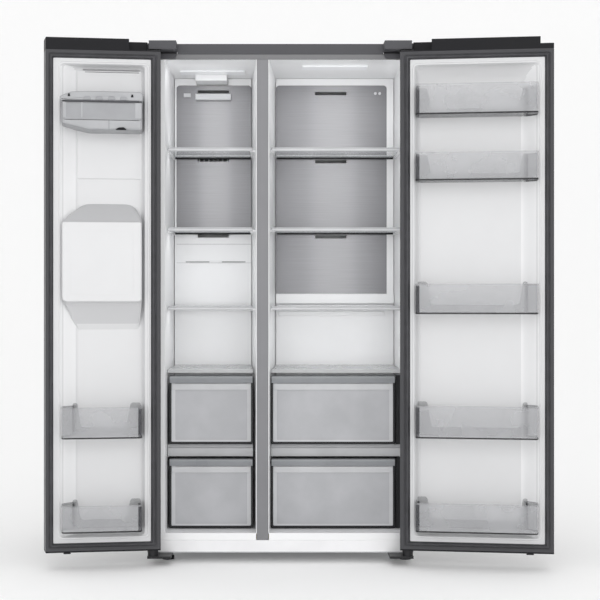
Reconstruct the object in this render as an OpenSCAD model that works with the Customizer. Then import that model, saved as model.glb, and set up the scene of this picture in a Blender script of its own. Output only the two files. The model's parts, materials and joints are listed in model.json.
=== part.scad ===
// Side by side refrigerator: freezer on the left, fridge on the right, both doors standing open.
// Millimetres. +X is the viewer's right, +Y goes back into the cabinet, +Z is up.
// The origin is on the floor under the middle of the cabinet's front edge.

/* [Cabinet] */
// Width of the cabinet
cab_w = 912; // [880:1:940]
// Depth of the cabinet without doors
cab_d = 610; // [590:1:660]
// Height of the steel case
case_top = 1742; // [1720:1:1800]
// Underside of the cabinet
case_bottom = 34; // [30:1:40]
// Height of the cover bar over the case
top_cover_h = 36; // [30:1:44]
// Thickness of the sheet steel
skin = 1.5; // [1:0.5:2]
// Thickness of the moulded liners
wall = 2; // [1.5:0.5:2.5]

/* [Compartments] */
// Left edge of the freezer opening
freezer_left = -396; // [-400:1:-390]
// Left edge of the centre divider
mullion_left = -83; // [-86:1:-80]
// Right edge of the centre divider
mullion_right = -39; // [-42:1:-36]
// Right edge of the fridge opening
fridge_right = 424; // [420:1:426]
// Floor of both compartments
floor_z = 101; // [100:1:106]
// Ceiling of both compartments
ceiling_z = 1724; // [1718:1:1724]
// Where the back panels stand
panel_y = 420; // [410:1:430]

/* [Doors] */
// Thickness of the doors
door_t = 81; // [76:1:84]
// Gap between the doors and the cabinet
door_gap = 12; // [11:0.5:13]
// Distance of the hinge pins from the cabinet's sides
pin_inset = 24; // [22:1:26]
// Distance of the hinge pins in front of the cabinet
pin_front = 51; // [50:1:54]
// How far the doors stand open
open_angle = 172; // [150:1:172]
// Inner edge of the freezer door
left_door_end = -66; // [-68:1:-64]
// Inner edge of the fridge door
right_door_end = -54; // [-56:1:-52]

/* [Shelves and drawers] */
// Top faces of the three glass shelves
shelf_z = [1434, 1154, 878];
// Front edge of the shelves
shelf_y = 100; // [95:1:110]
// Underside of the drawer cover shelf
cover_z = 640; // [636:1:644]

/* [Hidden] */
$fn = 48;

half_w = cab_w / 2;
top_z = case_top + top_cover_h;

// The machine compartment takes the cabinet's bottom rear corner.
machine_y = 390;
machine_z = 262;
liner_back = 545;
back_inset_left = 106;
back_inset_right = 18;

// Hinge axes, seen from above
left_pin = [-half_w + pin_inset, -pin_front, 0];
right_pin = [half_w - pin_inset, -pin_front, 0];
pin_r = 5;
pin_play = 0.05;

// Doors, in their closed place
door_in = -door_gap;
door_out = -door_gap - door_t;
door_z0 = 62;
door_z1 = 1736;
cap_low_z = 1740;
cap_high_z = 1777;
bottom_cap_z = 57;
grip_slant = 8;
white_z0 = 88;
white_z1 = 1709;
rim = 20;
recess_y = -52;
bin_front = 60;

// Drawers
drawer_y = 92;
upper_z = [396, 637];
lower_z = [103, 348];
drawer_wall = 3;

module block(lo, hi) {
  translate(lo) cube(hi - lo);
}

module plan(points, z0, z1) {
  translate([0, 0, z0]) linear_extrude(z1 - z0) polygon(points);
}

module rod(from, to, r) {
  v = to - from;
  length = norm(v);
  translate(from)
    rotate([0, acos(v[2] / length), atan2(v[1], v[0])]) cylinder(h = length, r = r);
}

// Turns a door from its closed place to where it stands open.
module left_door() {
  translate(left_pin) rotate([0, 0, -open_angle]) translate(-left_pin) children();
}

module right_door() {
  translate(right_pin) rotate([0, 0, open_angle]) translate(-right_pin) children();
}

// ---------------------------------------------------------------- cabinet

flange = 18;

module case_shell() {
  color([0.36, 0.36, 0.38])
  difference() {
    block([-half_w, 0, case_bottom], [half_w, cab_d - skin, case_top]);
    block([-half_w + skin, skin, case_bottom - 1], [half_w - skin, cab_d, case_top - skin]);
    block([-half_w + flange, -1, case_bottom - 1], [half_w - flange, cab_d, case_top - flange]);
  }
}

module rear_panel() {
  color([0.7, 0.7, 0.71])
  difference() {
    block([-half_w + skin, cab_d - skin, machine_z + 20], [half_w - skin, cab_d, case_top - skin]);
    for (x = [-300, 300], z = [500, 1500])
      translate([x, cab_d - 4, z]) rotate([-90, 0, 0]) cylinder(h = 8, r = 3);
  }
}

roller_x = 400;
roller_y = 560;
roller_r = 20;

module base_tray() {
  color([0.62, 0.63, 0.65]) {
    // floor sheet, wall in front of the machine compartment and side flanges
    difference() {
      block([-half_w + skin, skin, case_bottom], [half_w - skin, cab_d - skin, case_bottom + 3]);
      // wells for the rollers
      for (s = [-1, 1])
        block([s * roller_x - 10.8, roller_y - roller_r, case_bottom - 1],
              [s * roller_x + 10.8, roller_y + roller_r, case_bottom + 4]);
    }
    block([-half_w + skin, machine_y + 7, case_bottom + 3],
          [half_w - skin, machine_y + 9, machine_z - 6]);
    block([-half_w + skin, machine_y + 9, machine_z - 8],
          [half_w - skin, cab_d - skin - 3.3, machine_z - 6]);
    // roller forks
    for (s = [-1, 1], side = [-14, 11])
      difference() {
        block([s * roller_x + side, roller_y - 16, 8], [s * roller_x + side + 3, roller_y + 16, case_bottom]);
        translate([s * roller_x - 20, roller_y, roller_r])
          rotate([0, 90, 0]) cylinder(h = 40, r = 4);
      }
    for (s = [-1, 1])
      translate([s * roller_x - 15, roller_y, roller_r])
        rotate([0, 90, 0]) cylinder(h = 30, r = 4);
  }
}

// Outline of a compartment from above; the divider grows thicker towards the back.
function freezer_plan(grow = 0, back = liner_back) = [
  [freezer_left - grow, -1], [mullion_left + grow, -1], [mullion_left + grow, 20],
  [-back_inset_left + grow, panel_y], [-back_inset_left + grow, back + grow],
  [freezer_left - grow, back + grow]];
function fridge_plan(grow = 0, back = liner_back) = [
  [mullion_right - grow, -1], [fridge_right + grow, -1], [fridge_right + grow, back + grow],
  [-back_inset_right - grow, back + grow], [-back_inset_right - grow, panel_y],
  [mullion_right - grow, 20]];

// The hollow of a compartment: full depth above the machine compartment, short below it.
module hollow(outline, grow = 0) {
  difference() {
    plan(outline, floor_z - grow, ceiling_z + grow);
    block([-half_w, machine_y - 8 + grow, 0], [half_w, cab_d + 50, machine_z - grow]);
  }
}

ledge_w = 6;
ledge_h = 8;

// Moulded ledges that carry the glass shelves, on both side walls.
module ledges(left, right) {
  for (z = shelf_z)
    for (x = [[left - 12, left + ledge_w], [right - ledge_w, right + 12]])
      block([x[0], shelf_y + 15, z - 8 - ledge_h], [x[1], panel_y - 27, z - 8]);
}

module liner(outline, outline_out, x0, x1, left, right) {
  difference() {
    union() {
      hollow(outline_out, wall);
      block([x0, 0, floor_z - 24], [x1, wall, ceiling_z]);
    }
    hollow(outline);
    translate([0, -5, 0]) block([-half_w, 0, 0], [half_w, 5, case_top]);
    // the ceiling starts behind the case's front flange
    block([-half_w, -1, ceiling_z], [half_w, skin + 0.1, case_top]);
  }
  intersection() {
    hollow(outline_out, wall);
    ledges(left, right);
  }
}

module freezer_liner() {
  color([0.93, 0.93, 0.94]) {
    liner(freezer_plan(), freezer_plan(wall), -half_w + flange, mullion_left, freezer_left, -100);
    // air duct along the ceiling
    block([-310, 310, ceiling_z - 24], [-196, panel_y, ceiling_z]);
  }
}

module fridge_liner() {
  color([0.93, 0.93, 0.94])
    liner(fridge_plan(), fridge_plan(wall), mullion_right, half_w - flange, -26, fridge_right);
}

// Foamed core between the liners and the steel case
module foam_insulation() {
  color([0.9, 0.85, 0.62])
  difference() {
    block([-half_w + skin, wall + 1, case_bottom + 3], [half_w - skin, cab_d - skin, case_top - skin]);
    hollow(freezer_plan(wall + 0.2), wall + 0.2);
    hollow(fridge_plan(wall + 0.2), wall + 0.2);
    block([-half_w, machine_y + 7, 0], [half_w, cab_d + 1, machine_z - 6]);
    // the machine compartment's cover reaches up in front of the foam's edge
    block([-half_w, cab_d - skin - 3.3, 0], [half_w, cab_d + 1, machine_z + 18.3]);
    // room for the cross member behind the sill and for the divider's cover
    block([-half_w, 0, 0], [half_w, 30, floor_z - 24]);
    block([mullion_left - wall, 0, 0], [mullion_right + wall, 20, case_top]);
  }
}

module mullion_cover() {
  color([0.55, 0.55, 0.57])
    difference() {
      block([mullion_left + wall + 0.1, -0.4, floor_z - 24],
            [mullion_right - wall - 0.1, 18, ceiling_z]);
      block([mullion_left + wall + 2, 1.2, 0], [mullion_right - wall - 2, 19, case_top]);
    }
}

module front_sill() {
  color([0.92, 0.92, 0.93])
    difference() {
      block([-half_w + flange, 0, case_bottom + 3], [half_w - flange, 28, floor_z - 24.2]);
      block([-half_w + flange + 3, 2, case_bottom + 2], [half_w - flange - 3, 29, floor_z - 28]);
    }
}

module top_cover() {
  color([0.38, 0.38, 0.4])
    difference() {
      block([-half_w, 0, case_top], [half_w, 70, top_z]);
      block([-half_w + 3, 3, case_top - 1], [half_w - 3, 71, top_z - 3]);
      // the hinge plates pass out through the front wall
      for (s = [-1, 1])
        block([s * (half_w - 52) - 51, -1, case_top - 1], [s * (half_w - 52) + 51, 4, case_top + 6]);
    }
}

cover_end = 102;
nose_y = -68;
nose_in = 353;
nose_out = 445;

// The covers over the hinges: a nose over each pin, joined to the cover bar
module hinge_covers() {
  for (s = [-1, 1]) {
    color([0.38, 0.38, 0.4])
      difference() {
        union() {
          block([min(s * nose_in, s * nose_out), nose_y, case_top + 7],
                [max(s * nose_in, s * nose_out), -10, top_z]);
          block([s * (half_w - cover_end / 2) - cover_end / 2, -11, case_top + 7],
                [s * (half_w - cover_end / 2) + cover_end / 2, -0.2, top_z]);
        }
        // hollow over the pin's head
        translate([s * left_pin[0] * -1, left_pin[1], case_top])
          cylinder(h = 16, r = 10);
      }
    // rounded black closing piece under the cover
    color([0.1, 0.1, 0.11]) {
      block([min(s * 372, s * 409), -10.8, case_top - 15], [max(s * 372, s * 409), -0.2, case_top - 0.2]);
      intersection() {
        translate([s * 373, -10.8, case_top - 0.2]) rotate([-90, 0, 0]) cylinder(h = 10.6, r = 17);
        block([s * 373 - 17, -10.8, case_top - 15], [s * 373 + 17, -0.2, case_top - 0.2]);
      }
    }
  }
}

plate_t = 4;

module top_hinges() {
  color([0.12, 0.12, 0.13])
    for (s = [-1, 1])
      difference() {
        union() {
          block([s * (half_w - 53) - 49, -10, case_top], [s * (half_w - 53) + 49, 56, case_top + plate_t]);
          block([s * (half_w - 27) - 22, nose_y + 2, case_top],
                [s * (half_w - 27) + 22, -10, case_top + plate_t]);
          // the pin turns in the door's bush
          translate([s * right_pin[0], right_pin[1], door_z1 - 34])
            cylinder(h = case_top + plate_t + 6 - door_z1 + 34, r = pin_r);
        }
        for (y = [18, 42], x = [-30, 30])
          translate([s * (half_w - 51) + x, y, case_top - 1]) cylinder(h = 8, r = 3.5);
      }
}

module bottom_hinges() {
  color([0.1, 0.1, 0.11])
    for (s = [-1, 1]) {
      block([s * (half_w - 46) - 40, -72, 26], [s * (half_w - 46) + 40, 40, case_bottom]);
      translate([s * right_pin[0], right_pin[1], case_bottom]) cylinder(h = 20, r = 18);
      translate([s * right_pin[0], right_pin[1], case_bottom]) cylinder(h = 62, r = pin_r);
    }
}

foot_x = [-390, 434];
foot_y = 40;

module front_feet() {
  color([0.1, 0.1, 0.1])
    for (x = foot_x) {
      translate([x, foot_y + 30, 0]) cylinder(h = 12, r = 21);
      translate([x, foot_y + 30, 12]) cylinder(h = 4, r = 14);
      translate([x, foot_y + 30, 16]) cylinder(h = case_bottom - 16, r = 5);
    }
}

// ------------------------------------------------------- inside the cabinet

panel_t = 3;
panel_top = 1698;
freezer_panel_x = [-387, -back_inset_left - 2];
fridge_panel_x = [-back_inset_right + 2, 396];
freezer_back_x = [freezer_left + 2, -back_inset_left - 2];
fridge_back_x = [-back_inset_right + 2, fridge_right - 2];
freezer_panel_z = 1146;
fridge_panel_z = 922;
panel_r = 12;
slot_h = 12;
slot_w = 116;

// Metal plate with rounded top corners; grow makes the opening that it sits in
module plate(x, z0, grow = 0) {
  y0 = panel_y - grow;
  y1 = panel_y + panel_t + grow;
  block([x[0] - grow, y0, z0 - grow], [x[1] + grow, y1, panel_top - panel_r]);
  block([x[0] + panel_r, y0, z0], [x[1] - panel_r, y1, panel_top + grow]);
  for (cx = [x[0] + panel_r, x[1] - panel_r])
    translate([cx, y0, panel_top - panel_r]) rotate([-90, 0, 0]) cylinder(h = y1 - y0, r = panel_r + grow);
}

// Outlet slots for the cold air
module slots(heights, x) {
  for (z = heights)
    block([x - slot_w / 2, panel_y - 1, z - slot_h / 2],
          [x + slot_w / 2, panel_y + panel_t + 1, z + slot_h / 2]);
}

module freezer_back_panel() {
  color([0.66, 0.66, 0.68])
    difference() {
      plate(freezer_panel_x, freezer_panel_z);
      slots([1674, 1420], -250);
    }
}

module fridge_back_panel() {
  color([0.66, 0.66, 0.68])
    difference() {
      plate(fridge_panel_x, fridge_panel_z);
      slots([1668, 1414, 1134], 188);
    }
}

// White walls round and below the metal plates
module lower_back_panels() {
  color([0.92, 0.92, 0.93]) {
    difference() {
      block([freezer_back_x[0], panel_y, machine_z + 1],
            [freezer_back_x[1], panel_y + panel_t, ceiling_z - 1]);
      plate(freezer_panel_x, freezer_panel_z, 0.2);
      slots([1137], -250);
      for (x = [-298, -190])
        block([x - 44, panel_y - 1, 1030], [x + 44, panel_y + 1.5, 1044]);
      // room for the ceiling's air duct
      block([-312, panel_y - 1, ceiling_z - 25], [-194, panel_y + panel_t + 1, ceiling_z]);
    }
    difference() {
      block([fridge_back_x[0], panel_y, machine_z + 1], [fridge_back_x[1], panel_y + panel_t, ceiling_z - 1]);
      plate(fridge_panel_x, fridge_panel_z, 0.2);
    }
    block([fridge_back_x[0], panel_y - 14, fridge_panel_z - 36],
          [fridge_back_x[1], panel_y - 0.2, fridge_panel_z - 4]);
  }
}

module air_vents() {
  color([0.88, 0.88, 0.9]) {
    // lip under the freezer's top outlet
    difference() {
      block([-315, panel_y - 26, 1642], [-184, panel_y - 0.2, 1664]);
      block([-311, panel_y - 22, 1646], [-188, panel_y, 1665]);
    }
    // sensor housings
    block([-360, panel_y - 8, 1654], [-334, panel_y - 0.2, 1668]);
    for (x = [354, 370])
      translate([x, panel_y - 0.2, 1668]) rotate([90, 0, 0]) cylinder(h = 5, r = 5);
  }
}

module ceiling_lamps() {
  color([0.97, 0.97, 1]) {
    block([-362, 226, ceiling_z - 5], [-128, 306, ceiling_z - 0.2]);
    block([77, 116, ceiling_z - 5], [308, 196, ceiling_z - 0.2]);
  }
}

glass_t = 6;
side_play = 2;

function freezer_shelf_plan(y0, y1) = [
  [freezer_left + side_play, y0], [-96, y0], [-back_inset_left - side_play, y1],
  [freezer_left + side_play, y1]];
function fridge_shelf_plan(y0, y1) = [
  [-32, y0], [fridge_right - side_play, y0], [fridge_right - side_play, y1],
  [-back_inset_right + side_play, y1]];

// Trims that hold the glass at its front and back edges
trim_y = 14;
shelf_back = panel_y - 12;

module glass(outline, z) {
  color([0.78, 0.86, 0.87, 0.6]) plan(outline, z - glass_t - 1, z - 1);
}

module freezer_shelf(z) glass(freezer_shelf_plan(shelf_y + trim_y, shelf_back - trim_y), z);
module fridge_shelf(z) glass(fridge_shelf_plan(shelf_y + trim_y, shelf_back - trim_y), z);

module shelf_trims() {
  color([0.86, 0.86, 0.88])
    for (z = shelf_z) {
      block([freezer_left + 3, shelf_y, z - 14], [-97, shelf_y + trim_y, z]);
      block([freezer_left + 3, shelf_back - trim_y, z - 12], [-110, shelf_back, z + 2]);
      block([-30, shelf_y, z - 14], [fridge_right - 3, shelf_y + trim_y, z]);
      block([-13, shelf_back - trim_y, z - 12], [fridge_right - 3, shelf_back, z + 2]);
    }
}

module drawer_covers() {
  color([0.85, 0.87, 0.88]) {
    plan(freezer_shelf_plan(shelf_y, shelf_back), cover_z + 4, cover_z + 18);
    plan(fridge_shelf_plan(shelf_y, shelf_back), cover_z + 4, cover_z + 18);
  }
}

// Trays between the upper and the lower drawers, with rails for the upper ones
module divider(outline, left, right) {
  plan(outline, lower_z[1] + 2, lower_z[1] + 34);
  for (x = [left + 1, right - 9])
    block([x, shelf_y, lower_z[1] + 34], [x + 8, shelf_back, upper_z[0] - 1]);
}

module drawer_dividers() {
  color([0.8, 0.81, 0.83]) {
    divider(freezer_shelf_plan(shelf_y, shelf_back), freezer_left + 4, -114);
    divider(fridge_shelf_plan(shelf_y, shelf_back), -12, fridge_front[1] - 2);
    // posts beside the fridge's drawers
    for (z = [upper_z, lower_z])
      block([fridge_front[1] + 2, drawer_y, z[0]], [fridge_right - 3, drawer_y + 30, z[1]]);
  }
}

module drawer(front, inside, z, back) {
  color([0.72, 0.74, 0.76]) {
    difference() {
      block([inside[0], drawer_y, z[0]], [inside[1], back, z[1] - 26]);
      block([inside[0] + drawer_wall, drawer_y + 4, z[0] + drawer_wall],
            [inside[1] - drawer_wall, back - drawer_wall, z[1]]);
    }
    // front panel with a grip lip along its top
    block([front[0], drawer_y - 4, z[0]], [front[1], drawer_y, z[1] - 1]);
    block([front[0], drawer_y - 16, z[1] - 8], [front[1], drawer_y - 4, z[1] - 2]);
  }
}

freezer_front = [freezer_left + 7, -94];
freezer_inside = [freezer_left + 8, -114];
// The fridge's drawers stay clear of the open door's edge, which stands inside the cabinet's side
fridge_front = [-34, 402];
fridge_inside = [-14, 401];
upper_back = 402;
lower_back = 372;

module freezer_drawer_upper() drawer(freezer_front, freezer_inside, upper_z, upper_back);
module freezer_drawer_lower() drawer(freezer_front, freezer_inside, lower_z, lower_back);
module fridge_drawer_upper() drawer(fridge_front, fridge_inside, upper_z, upper_back);
module fridge_drawer_lower() drawer(fridge_front, fridge_inside, lower_z, lower_back);

// ------------------------------------------------------- cold machine

compressor_x = 300;
machine_mid_y = 505;
valve_at = [-40, cab_d, 180];
gland_at = [120, cab_d, 230];

module compressor() {
  color([0.1, 0.1, 0.1]) {
    translate([compressor_x, machine_mid_y, 60])
      rotate_extrude()
        polygon([[0, 0], [62, 0], [74, 12], [76, 50], [80, 52], [80, 58], [76, 60], [72, 108],
                 [52, 130], [0, 134]]);
    block([compressor_x - 95, machine_mid_y - 60, case_bottom + 15],
          [compressor_x + 95, machine_mid_y + 60, 60]);
    for (x = [-80, 80], y = [-45, 45])
      translate([compressor_x + x, machine_mid_y + y, case_bottom + 3]) cylinder(h = 12, r = 9);
    block([compressor_x - 108, machine_mid_y - 30, 84], [compressor_x - 72, machine_mid_y + 30, 140]);
  }
}

condenser_x = [-385, -200];

module condenser() {
  color([0.2, 0.2, 0.21]) {
    for (i = [0 : 11])
      block([condenser_x[0] + i * 16, machine_mid_y - 60, case_bottom + 3],
            [condenser_x[0] + i * 16 + 2, machine_mid_y + 60, 210]);
    for (y = [-40, 0, 40], z = [80, 130, 180])
      rod([condenser_x[0] - 12, machine_mid_y + y, z], [condenser_x[1] + 12, machine_mid_y + y, z], 5);
  }
}

condenser_fan_x = -150;
condenser_fan_z = 125;
evap_fan_y = 455;
freezer_fan_at = [-250, evap_fan_y, 1560];
fridge_fan_at = [188, evap_fan_y, 1560];
fan_r = 52;
hub_r = 15;
shaft_r = 4;
axle_play = 0.06;

// Fan housing with a motor block and a shaft along +Y
module fan_shroud() {
  difference() {
    block([-64, -6, -64], [64, 20, 64]);
    translate([0, -7, 0]) rotate([-90, 0, 0]) cylinder(h = 28, r = fan_r + 4);
  }
  translate([0, 17, 0]) rotate([-90, 0, 0]) cylinder(h = 25, r = 20);
  for (a = [0 : 120 : 240])
    rotate([0, a, 0]) block([12, 17.5, -4], [61, 23, 4]);
  translate([0, -4, 0]) rotate([-90, 0, 0]) cylinder(h = 30, r = shaft_r);
}

module fan_wheel() {
  difference() {
    union() {
      rotate([-90, 0, 0]) cylinder(h = 15, r = hub_r);
      for (a = [0 : 60 : 300])
        rotate([0, a, 0])
          translate([hub_r - 2, 7.5, 0]) rotate([32, 0, 0]) translate([0, -1, -14])
            cube([fan_r - hub_r, 2, 28]);
    }
    translate([0, -1, 0]) rotate([-90, 0, 0]) cylinder(h = 17, r = shaft_r + axle_play);
  }
}

module fan_shrouds() {
  color([0.3, 0.3, 0.32]) {
    translate([condenser_fan_x, machine_mid_y, condenser_fan_z]) rotate([0, 0, -90]) fan_shroud();
    translate(freezer_fan_at) fan_shroud();
    translate(fridge_fan_at) fan_shroud();
  }
}

module condenser_fan() {
  color([0.85, 0.85, 0.87])
    translate([condenser_fan_x, machine_mid_y, condenser_fan_z]) rotate([0, 0, -90]) fan_wheel();
}
module freezer_fan() { color([0.85, 0.85, 0.87]) translate(freezer_fan_at) fan_wheel(); }
module fridge_fan() { color([0.85, 0.85, 0.87]) translate(fridge_fan_at) fan_wheel(); }

module evaporator(x0, x1, z0, z1) {
  for (i = [0 : 14])
    block([x0 + i * (x1 - x0) / 14 - 1, 445, z0], [x0 + i * (x1 - x0) / 14 + 1, 505, z1]);
  for (y = [460, 490], z = [z0 + 25 : 45 : z1 - 10])
    rod([x0 - 8, y, z], [x1 + 8, y, z], 4);
}

module evaporators() {
  color([0.75, 0.76, 0.78]) {
    evaporator(-372, -130, 1180, 1440);
    evaporator(10, 380, 1180, 1340);
  }
}

module drain_pan() {
  color([0.15, 0.15, 0.16])
    difference() {
      block([compressor_x - 70, machine_mid_y - 55, 206], [compressor_x + 70, machine_mid_y + 55, 240]);
      block([compressor_x - 67, machine_mid_y - 52, 209], [compressor_x + 67, machine_mid_y + 52, 241]);
    }
}

module control_box() {
  color([0.8, 0.8, 0.78]) {
    block([60, 420, case_bottom + 3.2], [180, 470, 190]);
    block([66, 470, 60], [174, 472, 180]);
  }
}

module machine_cover() {
  color([0.25, 0.25, 0.26])
    difference() {
      block([-half_w + skin + 1, cab_d - skin - 3, case_bottom + 4],
            [half_w - skin - 1, cab_d - 0.1, machine_z + 18]);
      for (side = [-1, 1], i = [0 : 7], j = [0 : 2])
        block([side * 285 - 100 + j * 70, cab_d - 8, 80 + i * 18],
              [side * 285 - 100 + j * 70 + 58, cab_d + 1, 88 + i * 18]);
      translate([valve_at[0], cab_d - 10, valve_at[2]]) rotate([-90, 0, 0]) cylinder(h = 20, r = 17);
      translate([gland_at[0], cab_d - 10, gland_at[2]]) rotate([-90, 0, 0]) cylinder(h = 20, r = 8.2);
    }
}

// Water inlet valve with a 3/4 inch hose thread
module water_valve() {
  color([0.85, 0.85, 0.88]) {
    block([valve_at[0] - 24, 540, 150], [valve_at[0] + 24, 590, 212]);
    difference() {
      translate([valve_at[0], 590, valve_at[2]]) rotate([-90, 0, 0]) cylinder(h = 34, r = 13.2);
      translate([valve_at[0], 596, valve_at[2]]) rotate([-90, 0, 0]) cylinder(h = 30, r = 8);
    }
    block([valve_at[0] - 16, 500, 160], [valve_at[0] + 16, 540, 200]);
  }
}

// Gland that a mains lead leaves through
module cord_gland() {
  color([0.12, 0.12, 0.12])
    difference() {
      union() {
        translate([gland_at[0], cab_d - 12, gland_at[2]]) rotate([-90, 0, 0]) cylinder(h = 18, r = 8);
        translate([gland_at[0], cab_d, gland_at[2]]) rotate([-90, 0, 0]) cylinder(h = 6, r = 12);
      }
      translate([gland_at[0], cab_d - 14, gland_at[2]]) rotate([-90, 0, 0]) cylinder(h = 24, r = 4);
    }
}

module roller(s) {
  color([0.15, 0.15, 0.16])
    translate([s * roller_x - 10, roller_y, roller_r]) rotate([0, 90, 0])
      difference() {
        cylinder(h = 20, r = roller_r);
        translate([0, 0, -1]) cylinder(h = 22, r = 4 + axle_play);
      }
}
module rear_roller_left() roller(-1);
module rear_roller_right() roller(1);

// ---------------------------------------------------------------- doors

// Door outline from above: x0 is the hinge side, x1 the free edge; the free edge slants
// back by slant towards the cabinet. s is the side that the free edge points to.
function door_plan(x0, x1, slant, s, grow = 0) = [
  [x0 - s * grow, door_in], [x0 - s * grow, door_out + 4 - grow], [x0 + s * (4 - grow), door_out - grow],
  [x1 - s * (3 - grow), door_out - grow], [x1 + s * grow, door_out + 3 - grow],
  [x1 + s * grow, door_out + 14], [x1 - s * slant + s * grow, door_in]];

// Steel skin wrapped round the front and sides, with a folded rim at the back
module door_skin(x0, x1, slant, s) {
  difference() {
    plan(door_plan(x0, x1, slant, s), door_z0, door_z1);
    difference() {
      plan(door_plan(x0, x1, slant, s, -skin), door_z0 - 1, door_z1 + 1);
      block([-600, door_in - skin, 0], [600, door_in + 1, 2000]);
    }
    block([min(x0, x1) + 17, door_in - 5, white_z0 - 16],
          [max(x0, x1) - 17, door_in + 1, white_z1 + 16]);
  }
}

// The white inner face: a flat rim and a recess with sloped sides that holds the bins
module door_recess(x, grow = 0) {
  // x: [hinge end, free end, inset at the free end]
  s = sign(x[1] - x[0]);
  plan([[x[0] - s * grow, 100], [x[1] + s * grow, 100], [x[1] + s * grow, door_in],
        [x[1] - s * x[2] + s * grow, recess_y - grow], [x[0] + s * 8 - s * grow, recess_y - grow],
        [x[0] - s * grow, door_in]],
       white_z0 + rim - grow, white_z1 - rim + grow);
}

module door_liner(white, recess) {
  difference() {
    union() {
      block([white[0], door_in - wall, white_z0], [white[1], door_in, white_z1]);
      intersection() {
        door_recess(recess, wall);
        block([-600, -200, 0], [600, door_in, 2000]);
      }
    }
    door_recess(recess);
  }
}

module ring(x0, x1, z0, z1, w, y0, y1) {
  difference() {
    block([x0, y0, z0], [x1, y1, z1]);
    block([x0 + w, y0 - 1, z0 + w], [x1 - w, y1 + 1, z1 - w]);
  }
}

left_x = [-half_w, left_door_end];
left_white = [-424, -98];
left_recess = [-402, -122, 50];
right_x = [half_w, right_door_end];
right_white = [-25, 423];
right_recess = [404, -5, 46];
gasket_w = 14;

// Outside cavity of the water and ice dispenser, and the bulge that holds it inside
cavity_x = [-352, -180];
cavity_z = [905, 1180];
cavity_y = -24;
housing_x = [-386, -128];
housing_z = [893, 1222];
housing_y = 10;
slope_z = housing_z[1] - 62;

module left_door_skin() {
  left_door() color([0.33, 0.33, 0.35])
    difference() {
      door_skin(left_x[0], left_x[1], grip_slant, 1);
      block([cavity_x[0] - 4.2, door_out - 1, cavity_z[0] - 4.2],
            [cavity_x[1] + 4.2, door_out + 10, cavity_z[1] + 90]);
    }
}

module left_door_liner() {
  left_door() color([0.93, 0.93, 0.94]) {
    difference() {
      door_liner(left_white, left_recess);
      block([housing_x[0] - 0.2, -100, housing_z[0] - 50.2],
            [housing_x[1] + 0.2, door_in + 1, housing_z[1] + 0.2]);
    }
    // louvred air inlet at the top of the recess
    for (i = [0 : 2])
      block([-352 + i * 8, recess_y - 0.5, 1660 + i * 9], [-176 - i * 8, recess_y + 4, 1664 + i * 9]);
  }
}

module left_door_foam() {
  left_door() color([0.9, 0.85, 0.62])
    difference() {
      plan(door_plan(left_x[0] + 0.2, left_x[1] - 0.2, grip_slant, 1, -skin - 0.2), door_z0 + 1, door_z1 - 1);
      block([-600, door_in - wall - 2, 0], [600, 10, 2000]);
      door_recess(left_recess, wall + 0.3);
      block([cavity_x[0] - 5, -200, cavity_z[0] - 5], [cavity_x[1] + 5, 50, cavity_z[1] + 95]);
      block([housing_x[0] - 1, recess_y - 5, housing_z[0] - 51], [housing_x[1] + 1, 50, housing_z[1] + 1]);
      bush_room(left_pin);
    }
}

// Room round a hinge pin and its bush at both ends of a door
module bush_room(pin) {
  for (z = [door_z0 - 10, door_z1 - 46])
    translate([pin[0], pin[1], z]) cylinder(h = 60, r = 11.3);
}

module left_gasket() {
  left_door() color([0.2, 0.2, 0.21])
    ring(left_white[0] - gasket_w - 2, left_x[1] - grip_slant, white_z0 - 17, white_z1 + 17,
         gasket_w, door_in + 0.1, -0.6);
}

// Bush that turns on a hinge pin
module bush(pin, z0, z1) {
  translate([pin[0], pin[1], z0])
    difference() {
      cylinder(h = z1 - z0, r = 11);
      translate([0, 0, -1]) cylinder(h = z1 - z0 + 2, r = pin_r + pin_play);
    }
}

// Black caps on the ends of a door, with a bush for each hinge pin; the top cap is low where
// the hinge cover passes over it.
module door_caps(x0, x1, slant, s, pin, high) {
  difference() {
    union() {
      plan(door_plan(x0, x1, slant, s), door_z1 + 0.1, cap_low_z);
      plan(door_plan(high[0], high[1], slant, s), cap_low_z, cap_high_z);
      // strip that runs on past the hinge cover, in front of it
      block([min(high[0] + s, high[0] - s * 64), door_out + 2, cap_low_z],
            [max(high[0] + s, high[0] - s * 64), nose_y - 2, cap_high_z]);
      plan(door_plan(x0, x1, slant, s), bottom_cap_z, door_z0 - 0.1);
    }
    for (z = [bottom_cap_z - 1, door_z1 - 10])
      translate([pin[0], pin[1], z]) cylinder(h = 16, r = 11.1);
  }
  bush(pin, bottom_cap_z, 97);
  bush(pin, door_z1 - 36, cap_low_z);
  // stop under the free end
  block([min(x1 - s * 90, x1 - s * 66), door_in - 20, bottom_cap_z - 6],
        [max(x1 - s * 90, x1 - s * 66), door_in - 8, bottom_cap_z]);
}

module left_door_caps() {
  left_door() color([0.09, 0.09, 0.1])
    door_caps(left_x[0], left_x[1], grip_slant, 1, left_pin, [-350, left_x[1]]);
}

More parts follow.
